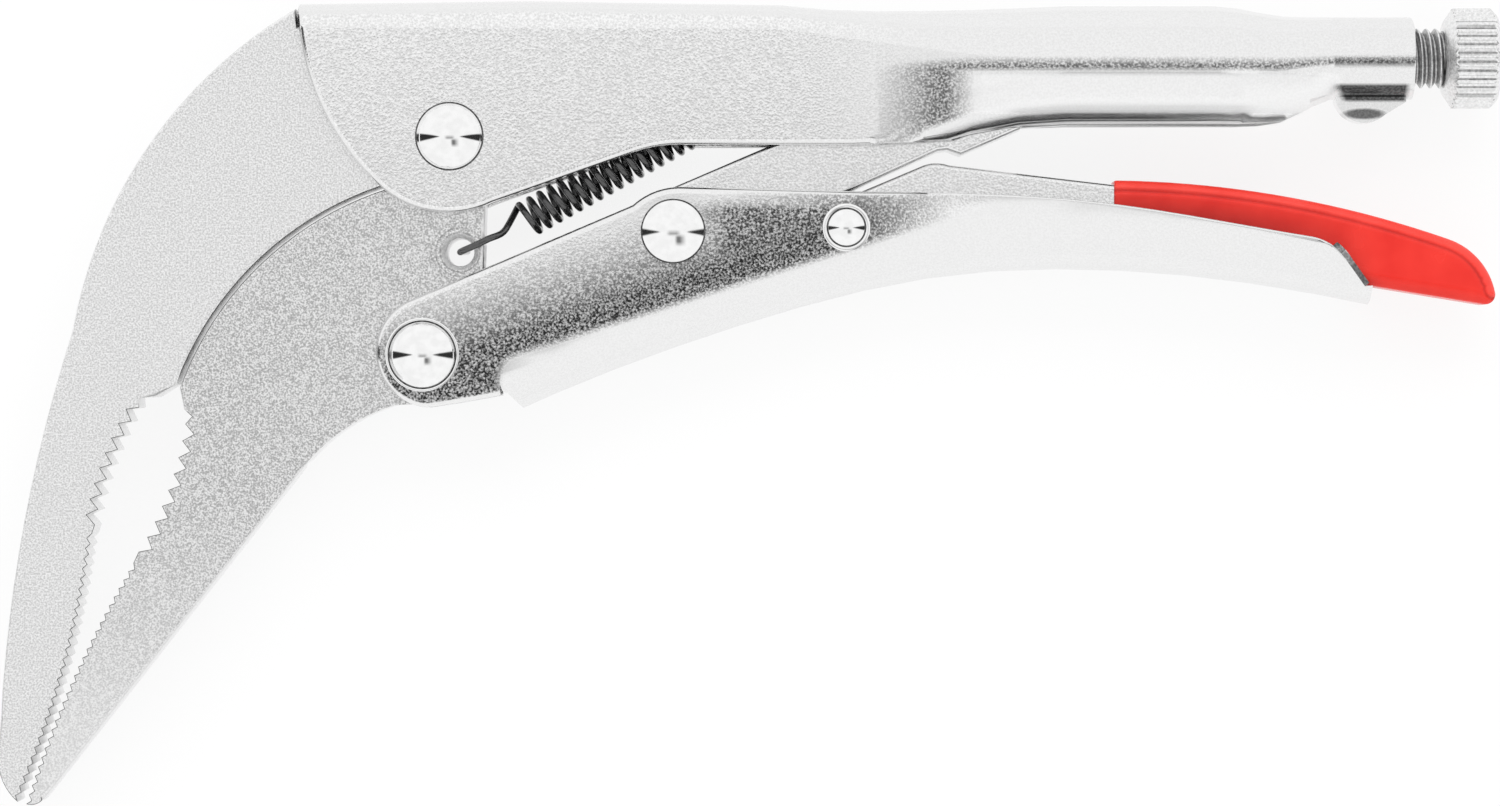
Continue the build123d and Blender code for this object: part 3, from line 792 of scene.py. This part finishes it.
upper_sheet = welded_copy("upper_handle", "upper_handle_channel")
close_the_neck(upper_sheet)
folded_handle(upper_sheet, "upper_handle", UPPER_NICKEL, upper_half, core_y=44.0, bend_reach=0.8,
              outer_reach=0.8, thin_from=60.0, keep_off=upper_left_sharp)
lower_sheet = welded_copy("lower_handle", "lower_handle_trough")
carry_fold_forward(lower_sheet)
folded_handle(lower_sheet, "lower_handle", LOWER_NICKEL, lower_half, core_y=26.0, bend_reach=0.0,
              outer_reach=0.9, thin_from=24.0, keep_off=lower_left_sharp)
curl_rear_lip(lower_sheet)

for node in ("toggle_link", "release_lever"):
    bar = welded_copy(node, node + "_bar")
    round_edges(bar, 0.6, 3, lambda edge: turn_of(edge) > 50 and not near_a_pin(middle_of(edge)))
    smooth(bar, 42)
    dress(bar, PRESSED_STEEL, node, "handle_sheet", node)


# ---------------------------------------------------------------- red dip on the lever
def crease_below_the_top(grip):
    """Presses the dip's crease into its sides, a little below its top edge."""
    column_width, crease_depth, crease_half = 0.5, 1.4, 0.28
    tops = {}
    for vert in grip.data.vertices:
        column = round(vert.co.x / (column_width * MM))
        if column not in tops or vert.co.y > tops[column].y:
            tops[column] = vert.co.copy()
    edge = KDTree(len(tops))
    for i, top in enumerate(tops.values()):
        edge.insert((top.x, top.y, 0), i)
    edge.balance()
    depths = [edge.find((vert.co.x, vert.co.y, 0))[2] / MM for vert in grip.data.vertices]
    sides = [abs(vert.normal.z) > 0.5 for vert in grip.data.vertices]
    crease = grip.vertex_groups.new(name="crease")
    for i, depth in enumerate(depths):
        weight = math.exp(-((depth - crease_depth) / crease_half) ** 2)
        if weight > 0.02 and sides[i]:
            crease.add([i], weight, "REPLACE")
    take_up(grip)
    press = grip.modifiers.new("press", "DISPLACE")
    press.vertex_group = "crease"
    press.mid_level = 0.0
    press.strength = -0.24 * MM
    bpy.ops.object.modifier_apply(modifier=press.name)
    below = grip.data.attributes.new("below_top", "FLOAT", "POINT")
    below.data.foreach_set("value", depths)


def keep_outer_skin(grip):
    """Takes away the grip's front ring and its pocket, and closes the skin that is left."""
    front = 48.5
    choose_faces(grip, lambda face: face.normal.x < -0.99
                 and face.calc_center_median().x < (front + 0.05) * MM)
    bpy.ops.mesh.delete(type="FACE")
    bpy.ops.mesh.select_mode(type="VERT")
    bpy.ops.mesh.select_all(action="DESELECT")
    mesh = bmesh.from_edit_mesh(grip.data)
    max(mesh.verts, key=lambda vert: vert.co.x).select_set(True)
    bmesh.update_edit_mesh(grip.data)
    bpy.ops.mesh.select_linked()
    bpy.ops.mesh.select_all(action="INVERT")
    bpy.ops.mesh.delete(type="VERT")
    bpy.ops.mesh.select_all(action="DESELECT")
    bpy.ops.mesh.select_non_manifold()
    bpy.ops.mesh.edge_face_add()
    face_outward()
    bpy.ops.object.mode_set(mode="OBJECT")


def dipped_grip():
    """A solid dip with full soft edges, made from the grip's outer skin."""
    grip = welded_copy("lever_grip", "lever_grip_dip")
    keep_outer_skin(grip)
    round_edges(grip, 0.6, 2, lambda edge: 25 < turn_of(edge) < 65
                and max(abs(face.normal.z) for face in edge.link_faces) > 0.98)
    take_up(grip)
    melt = grip.modifiers.new("melt", "REMESH")
    melt.mode = "VOXEL"
    melt.voxel_size = 0.2 * MM
    bpy.ops.object.modifier_apply(modifier=melt.name)
    settle = grip.modifiers.new("settle", "SMOOTH")
    settle.iterations = 9
    settle.factor = 0.5
    bpy.ops.object.modifier_apply(modifier=settle.name)
    crease_below_the_top(grip)
    bpy.ops.object.shade_smooth()
    dress(grip, DIPPED_RED, "release_lever", "red_dip", "lever_grip")
    grip.visible_glossy = False


dipped_grip()


# ---------------------------------------------------------------- rivets
def domed_rivet(node, body, pin, shank, head, height, collar):
    """A rivet with a dome on each side, a short band under it, a seam and an optional collar."""
    band, seam, lift, collar_height = 0.3, 0.22, 0.03, 0.2
    x, y = pin
    wall = MID_Z + FRONT_HALF
    dome = height - band
    ball = (head * head + dome * dome) / (2 * dome)
    top = wall + height

    def widen(old, new, level):
        share = new / old
        bpy.ops.mesh.extrude_region_move()
        bpy.ops.transform.resize(value=(share, share, 1),
                                 center_override=(x * MM, y * MM, level * MM))

    def in_the_seam(face):
        return (abs(centre_of(face).z - MID_Z) < FRONT_HALF + 3 * lift
                and abs(face.normal.z) > 0.5)

    put_down()
    bpy.ops.mesh.primitive_uv_sphere_add(segments=64, ring_count=96, radius=ball * MM,
                                         location=(x * MM, y * MM, (top - ball) * MM))
    piece = name_piece(node + "_domed")
    fix_place(piece)
    bpy.ops.object.mode_set(mode="EDIT")
    bpy.ops.mesh.select_mode(type="EDGE")
    bpy.ops.mesh.select_all(action="SELECT")
    bpy.ops.mesh.bisect(plane_co=(0, 0, (top - dome) * MM), plane_no=(0, 0, 1), clear_inner=True,
                        threshold=CLOSE)
    draw_out(0, 0, -band)
    bpy.ops.transform.translate(value=(0, 0, lift * MM))
    widen(head, head + seam, wall + lift)
    if collar:
        draw_out(0, 0, collar_height)
        widen(head + seam, head + collar, wall + lift)
        draw_out(0, 0, -collar_height)
    draw_out(0, 0, -lift)
    widen(head + max(seam, collar), shank, wall)
    draw_out(0, 0, -FRONT_HALF)
    bpy.ops.mesh.select_all(action="SELECT")
    bpy.ops.mesh.duplicate()
    bpy.ops.transform.resize(value=(1, 1, -1), center_override=(x * MM, y * MM, MID_Z * MM))
    bpy.ops.mesh.select_all(action="SELECT")
    bpy.ops.mesh.remove_doubles(threshold=CLOSE)
    face_outward()
    bpy.ops.object.mode_set(mode="OBJECT")
    soften(piece, "soft", 0.05, 30)
    smooth(piece)
    dress(piece, POLISHED_RIVET, body, "rivet_steel", node)
    second_finish(piece, RIVET_SEAM, in_the_seam)


domed_rivet("main_rivet", "upper_handle", MAIN_PIN,
            shank=3.0, head=4.35, height=2.35, collar=0.0)
domed_rivet("handle_rivet", "lower_handle", HANDLE_PIN,
            shank=3.0, head=4.35, height=2.35, collar=0.55)
domed_rivet("toggle_rivet", "lower_handle", TOGGLE_PIN,
            shank=3.0, head=4.1, height=1.5, collar=0.0)
domed_rivet("release_rivet", "lower_handle", RELEASE_PIN,
            shank=1.6, head=2.42, height=1.2, collar=0.75)


# ---------------------------------------------------------------- adjusting screw
PITCH = 1.25
ROOT = 3.32
CREST = 4.0


def thread_ridge(turns):
    """A rolled ridge wound along the screw's axis, and cut off at the knob."""
    sunk = 0.12
    height = CREST - ROOT + sunk
    start = KNOB_X + 0.62 - turns * PITCH
    put_down()
    bpy.ops.mesh.primitive_circle_add(vertices=3, radius=1.0 * MM,
                                      location=(start * MM, SCREW_Y * MM, MID_Z * MM))
    ridge = name_piece("thread_ridge")
    bpy.ops.object.mode_set(mode="EDIT")
    bpy.ops.mesh.select_all(action="SELECT")
    bpy.ops.transform.resize(value=(PITCH * 0.94 / math.sqrt(3), height / 1.5, 1))
    bpy.ops.transform.translate(value=(0, (ROOT - sunk + height / 3) * MM, 0))
    bpy.ops.object.mode_set(mode="OBJECT")
    ridge.rotation_euler.x = math.pi / 2
    wind = ridge.modifiers.new("wind", "SCREW")
    wind.axis = "X"
    wind.angle = 2 * math.pi
    wind.screw_offset = PITCH * MM
    wind.iterations = turns
    wind.steps = 36
    wind.render_steps = 36
    bpy.ops.object.modifier_apply(modifier=wind.name)
    fix_place(ridge)
    bpy.ops.object.mode_set(mode="EDIT")
    bpy.ops.mesh.select_all(action="SELECT")
    bpy.ops.mesh.fill_holes(sides=3)
    face_outward()
    bpy.ops.object.mode_set(mode="OBJECT")
    soften(ridge, "crown", 0.16, 50)
    bpy.ops.object.mode_set(mode="EDIT")
    bpy.ops.mesh.select_mode(type="EDGE")
    bpy.ops.mesh.select_all(action="SELECT")
    bpy.ops.mesh.bisect(plane_co=(KNOB_X * MM, 0, 0), plane_no=(1, 0, 0), use_fill=True,
                        clear_outer=True, threshold=CLOSE)
    bpy.ops.object.mode_set(mode="OBJECT")
    return ridge


def threaded_screw():
    """The rod with its turned point and a rolled thread wound round it, with painted shade on the
    root and the flanks.
    """
    low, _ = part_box("adjusting_screw")
    start = low[0] / MM
    middle = ((KNOB_X + start) / 2 * MM, SCREW_Y * MM, MID_Z * MM)
    put_down()
    bpy.ops.mesh.primitive_cylinder_add(vertices=48, radius=ROOT * MM, depth=(KNOB_X - start) * MM,
                                        location=middle, rotation=(0, math.pi / 2, 0))
    rod = name_piece("adjusting_screw_thread")
    fix_place(rod)
    round_edges(rod, 0.7, 3, lambda edge: turn_of(edge) > 50
                and all(vert.co.x < (start + 0.1) * MM for vert in edge.verts))
    ridge = thread_ridge(int((KNOB_X - start - 1.6) / PITCH) + 1)
    rod.data.materials.append(THREAD_FLANK_SHADE)
    ridge.data.materials.append(ZINC_SCREW)
    take_up(ridge)
    rod.select_set(True)
    bpy.context.view_layer.objects.active = rod
    bpy.ops.object.join()
    smooth(rod, 35)
    # Painted shade on the ridge's flanks; the crests keep the light zinc.
    lay_finish(rod, 0, lambda face: face.material_index == 1 and abs(face.normal.x) > 0.62)
    stand_in(rod, "adjusting_screw", "screw_steel", "adjusting_screw")


def far_from_axis(spot):
    """How far a place lies from the screw's axis."""
    return math.hypot(spot.y - SCREW_Y, spot.z - MID_Z)


def neck_edge(edge):
    """The edge of the knob's front face."""
    spot = middle_of(edge)
    return turn_of(edge) > 20 and spot.x < KNOB_X + 1.3 and 4.4 < far_from_axis(spot) < 5.3


def shoulder_edge(edge):
    """The edge between the knob's cone and its ridges."""
    spot = middle_of(edge)
    return (turn_of(edge) > 20 and KNOB_X + 0.6 < spot.x < KNOB_X + 1.35
            and 5.7 < far_from_axis(spot) < 6.7
            and abs(edge.verts[0].co.x - edge.verts[1].co.x) < 0.05 * MM)


def in_a_groove(face):
    """A face low between two of the knob's ridges."""
    return 6.0 < far_from_axis(centre_of(face)) < 6.38 and abs(face.normal.x) < 0.3


threaded_screw()
knob = welded_copy("screw_knob", "screw_knob_ridged")
round_edges(knob, 0.55, 4, neck_edge)
round_edges(knob, 0.55, 4, shoulder_edge)
round_edges(knob, 0.12, 2, lambda edge: turn_of(edge) > 40)
smooth(knob, 35)
dress(knob, ZINC_SCREW, "screw_knob", "screw_steel", "screw_knob")
# Painted shade in the knob's grooves.
second_finish(knob, ZINC_PAINTED_SHADE, in_a_groove)


# ---------------------------------------------------------------- return spring
def bend_wire(piece, stops):
    """Leads a curve through its stops, each a place and a way."""
    pull = 0.36
    line = piece.data.splines[0]
    line.bezier_points.add(len(stops) - 2)
    for i, (place, way) in enumerate(stops):
        point = line.bezier_points[i]
        point.handle_left_type = "FREE"
        point.handle_right_type = "FREE"
        before = (place - stops[max(i - 1, 0)][0]).length * pull
        after = (place - stops[min(i + 1, len(stops) - 1)][0]).length * pull
        point.co = place * MM
        point.handle_left = (place - way * before) * MM
        point.handle_right = (place + way * after) * MM


def wound_spring():
    """One round wire: a hook through the jaw, the turns, and a hook through the anchor tab."""
    wire, coil, pitch, turns = 0.46, 2.2, 1.55, 20
    start, drop = 9.8, 0.3
    jaw_half = 3.5
    along = (SPRING_ANCHOR - SPRING_HOLE).normalized()
    side = Vector((-along.y, along.x, 0))
    up = Vector((0, 0, 1))
    over = jaw_half + 1.5 * wire

    def turn_place(angle):
        climb = pitch / (2 * math.pi)
        middle = SPRING_HOLE + along * (start + climb * angle) - side * drop
        place = middle + side * (coil * math.cos(angle)) + up * (coil * math.sin(angle))
        way = along * climb - side * (coil * math.sin(angle)) + up * (coil * math.cos(angle))
        return place, way.normalized()

    dip = (along + side * 0.6 - up * 0.7).normalized()
    stops = [(SPRING_HOLE + along * 0.6 - up * over, up),
             (SPRING_HOLE + up * 3.0, up),
             (SPRING_HOLE + along * 3.6 - side * 0.3 + up * over, along),
             (SPRING_HOLE + along * 6.8 - side * 0.2 + up * coil, dip)]
    stops += [turn_place(math.pi / 2 * i) for i in range(4 * turns - 2)]
    stops += [(SPRING_ANCHOR - along * 1.6 + up * 2.2, along),
              (SPRING_ANCHOR + up * 1.0, -up),
              (SPRING_ANCHOR - along * 0.3 - up * 1.5, -up)]
    put_down()
    bpy.ops.curve.primitive_bezier_curve_add(location=(0, 0, 0))
    piece = name_piece("return_spring_wire")
    bend_wire(piece, stops)
    piece.data.dimensions = "3D"
    piece.data.resolution_u = 6
    piece.data.bevel_depth = wire * MM
    piece.data.bevel_resolution = 4
    piece.data.use_fill_caps = True
    take_up(piece)
    bpy.ops.object.convert(target="MESH")
    piece = bpy.context.object
    bpy.ops.object.mode_set(mode="EDIT")
    bpy.ops.mesh.select_all(action="SELECT")
    bpy.ops.mesh.remove_doubles(threshold=CLOSE)
    face_outward()
    bpy.ops.object.mode_set(mode="OBJECT")
    smooth(piece, 60)
    piece.data.materials.clear()
    piece.data.materials.append(OILED_WIRE)
    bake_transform(piece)
    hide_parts("return_spring")


wound_spring()


# ---------------------------------------------------------------- floor, light and camera
def white_floor():
    """A plain white floor that keeps the shadow."""
    put_down()
    bpy.ops.mesh.primitive_plane_add(size=4.0, location=(0, 0, -0.05 * MM))
    floor = name_piece("floor")
    finish, tree, shader, _ = new_finish("white_floor")
    shader.inputs["Base Color"].default_value = (0.92, 0.92, 0.92, 1.0)
    shader.inputs["Roughness"].default_value = 0.9
    glow = tree.nodes.new("ShaderNodeEmission")
    glow.inputs["Color"].default_value = (1.0, 1.0, 1.0, 1.0)
    glow.inputs["Strength"].default_value = 1.0
    path = tree.nodes.new("ShaderNodeLightPath").outputs
    seen = largest(tree, path["Is Glossy Ray"], path["Is Transmission Ray"], path["Is Camera Ray"])
    mix = tree.nodes.new("ShaderNodeMixShader")
    tree.links.new(product(tree, seen, 0.85), mix.inputs[0])
    tree.links.new(shader.outputs[0], mix.inputs[1])
    tree.links.new(glow.outputs[0], mix.inputs[2])
    tree.links.new(mix.outputs[0], tree.nodes["Material Output"].inputs["Surface"])
    floor.data.materials.append(finish)


def softbox(place, size_x, size_y, power):
    """A large soft lamp that looks at the object."""
    put_down()
    bpy.ops.object.light_add(type="AREA", location=place)
    lamp = bpy.context.object
    lamp.data.shape = "RECTANGLE"
    lamp.data.size = size_x
    lamp.data.size_y = size_y
    lamp.data.energy = power
    lamp.visible_glossy = False
    lamp.rotation_euler = (-Vector(place)).to_track_quat("-Z", "Y").to_euler()


def studio():
    """A white room with a soft dark patch overhead, a strip below it and a dark gap at each end."""
    world = bpy.data.worlds.new("studio")
    scene.world = world
    world.use_nodes = True
    tree = world.node_tree
    back = tree.nodes["Background"]
    place = tree.nodes.new("ShaderNodeTexCoord")
    split = tree.nodes.new("ShaderNodeSeparateXYZ")
    tree.links.new(place.outputs["Generated"], split.inputs[0])

    def band(value, start, full, end, gone):
        return product(tree, rising(tree, value, start, full), falling(tree, value, end, gone))

    across, up = split.outputs["X"], split.outputs["Y"]
    wide, high = sum_of(tree, "ABSOLUTE", across), sum_of(tree, "ABSOLUTE", up)
    overhead = product(tree, band(up, -0.16, -0.07, -0.06, 0.085),
                       spread(tree, wide, 0.60, 0.0, 0.12, 0.26))
    strip = product(tree, band(up, -0.50, -0.34, -0.20, -0.06),
                    band(across, 0.04, 0.14, 0.22, 0.44), 0.8)
    taper = minus(tree, high, product(tree, minus(tree, wide, 0.45), 0.22))
    gaps = product(tree, spread(tree, taper, 0.97, 0.0, -0.02, 0.03),
                   rising(tree, wide, 0.42, 0.52))
    shade = largest(tree, overhead, strip, gaps)
    tree.links.new(minus(tree, 1.0, shade), back.inputs["Color"])
    back.inputs["Strength"].default_value = 1.0


white_floor()
studio()
softbox((0.0, 0.55, 0.50), 0.9, 0.35, 2.2)
softbox((0.0, -0.60, 0.42), 0.9, 0.30, 0.6)

bpy.ops.object.camera_add(location=(0.0, 0.0, 0.66), rotation=(0, 0, 0))
camera = bpy.context.object
camera.data.sensor_width = 36.0
camera.data.lens = 116.9
scene.camera = camera
